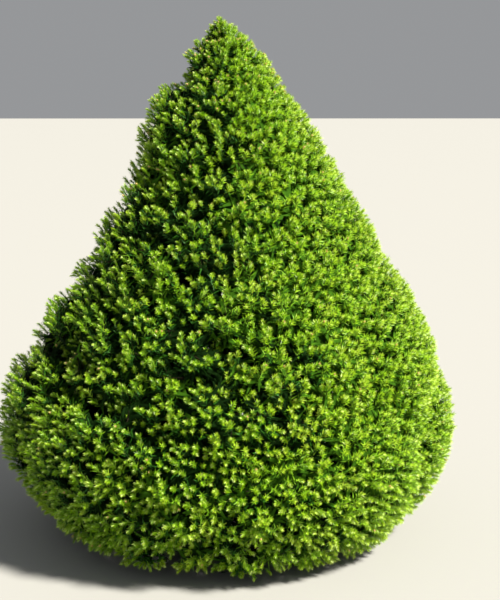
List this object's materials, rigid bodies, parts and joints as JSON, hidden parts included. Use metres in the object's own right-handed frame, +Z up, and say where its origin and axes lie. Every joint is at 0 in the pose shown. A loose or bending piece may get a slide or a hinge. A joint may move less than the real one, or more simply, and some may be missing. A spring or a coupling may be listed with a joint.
{
  "type": "dwarf conical spruce tree",
  "caption": "Young dense conical spruce, foliage to the ground, standing on a flat cut under its trunk; trunk, boughs and foliage masses are separate solids.",
  "frame": {"origin": "middle of the flat cut under the trunk, at ground level", "axes": "+Z up along the trunk; -Y is the front of the tree and +X its right side seen from there"},
  "size_m": [1.7834, 1.7192, 1.948],
  "materials": {
    "bark": "rough, flaking grey-brown bark",
    "young_bark": "rough brown bark",
    "crown_top_needles": "matt fresh yellow-green needles",
    "crown_needles": "matt fresh green needles",
    "skirt_needles": "matt mid-green needles"
  },
  "bodies": {
    "root": {"trunk": "bark", "foliage_tip": "crown_top_needles", "bough_upper_1": "young_bark", "foliage_upper_1": "crown_top_needles", "bough_upper_2": "young_bark", "foliage_upper_2": "crown_top_needles", "bough_upper_3": "young_bark", "foliage_upper_3": "crown_top_needles", "bough_middle_1": "young_bark", "foliage_middle_1": "crown_needles", "bough_middle_2": "young_bark", "foliage_middle_2": "crown_needles", "bough_middle_3": "young_bark", "foliage_middle_3": "crown_needles", "bough_middle_4": "young_bark", "foliage_middle_4": "crown_needles", "bough_lower_1": "young_bark", "foliage_lower_1": "crown_needles", "bough_lower_2": "young_bark", "foliage_lower_2": "crown_needles", "bough_lower_3": "young_bark", "foliage_lower_3": "crown_needles", "bough_lower_4": "young_bark", "foliage_lower_4": "crown_needles", "bough_lower_5": "young_bark", "foliage_lower_5": "crown_needles", "bough_skirt_1": "young_bark", "foliage_skirt_1": "skirt_needles", "bough_skirt_2": "young_bark", "foliage_skirt_2": "skirt_needles", "bough_skirt_3": "young_bark", "foliage_skirt_3": "skirt_needles", "bough_skirt_4": "young_bark", "foliage_skirt_4": "skirt_needles", "bough_skirt_5": "young_bark", "foliage_skirt_5": "skirt_needles", "bough_skirt_6": "young_bark", "foliage_skirt_6": "skirt_needles"}
  },
  "joints": []
}
